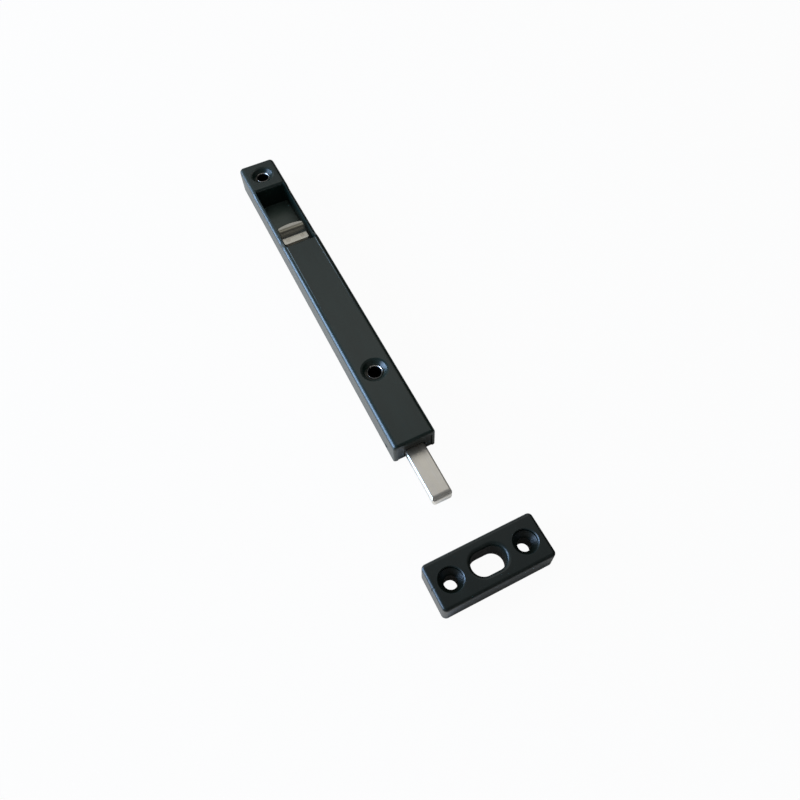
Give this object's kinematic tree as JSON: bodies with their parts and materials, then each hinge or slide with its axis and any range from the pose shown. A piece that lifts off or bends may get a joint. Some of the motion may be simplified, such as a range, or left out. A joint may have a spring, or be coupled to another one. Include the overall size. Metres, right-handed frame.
{
  "type": "door bolt",
  "caption": "Surface slide bolt for a door: a flat steel bar with a finger slide in a long black housing, and a loose black keeper block with an obround hole for the bar.",
  "frame": {"origin": "midway between the two housing screws, on the back face that lies against the door", "axes": "+Z out of the door, +Y along the bolt from the mouth to the finger end, +X across the bolt"},
  "size_m": [0.0396, 0.2125, 0.011],
  "materials": {
    "housing_plastic": "satin black moulding",
    "plate_paint": "matt black paint on steel strip",
    "guide_plastic": "satin black moulding",
    "bar_steel": "fine brushed",
    "slide_steel": "fine brushed",
    "rivet_steel": "rubbed flush",
    "spring_steel": "plain rolled",
    "sleeve_steel": "bright plated",
    "keeper_plastic": "satin black moulding"
  },
  "bodies": {
    "housing_body": {"housing": "housing_plastic", "back_plate": "plate_paint", "end_guide": "guide_plastic", "friction_spring": "spring_steel", "upper_sleeve": "sleeve_steel", "lower_sleeve": "sleeve_steel", "keeper": "keeper_plastic"},
    "bolt_body": {"bolt_bar": "bar_steel", "finger_slide": "slide_steel", "slide_rivets": "rivet_steel"}
  },
  "joints": [
    {"name": "bolt_slide", "type": "slide", "parent": "housing_body", "child": "bolt_body", "axis": [0, 1, 0], "range_m": [0, 0.0205]}
  ]
}
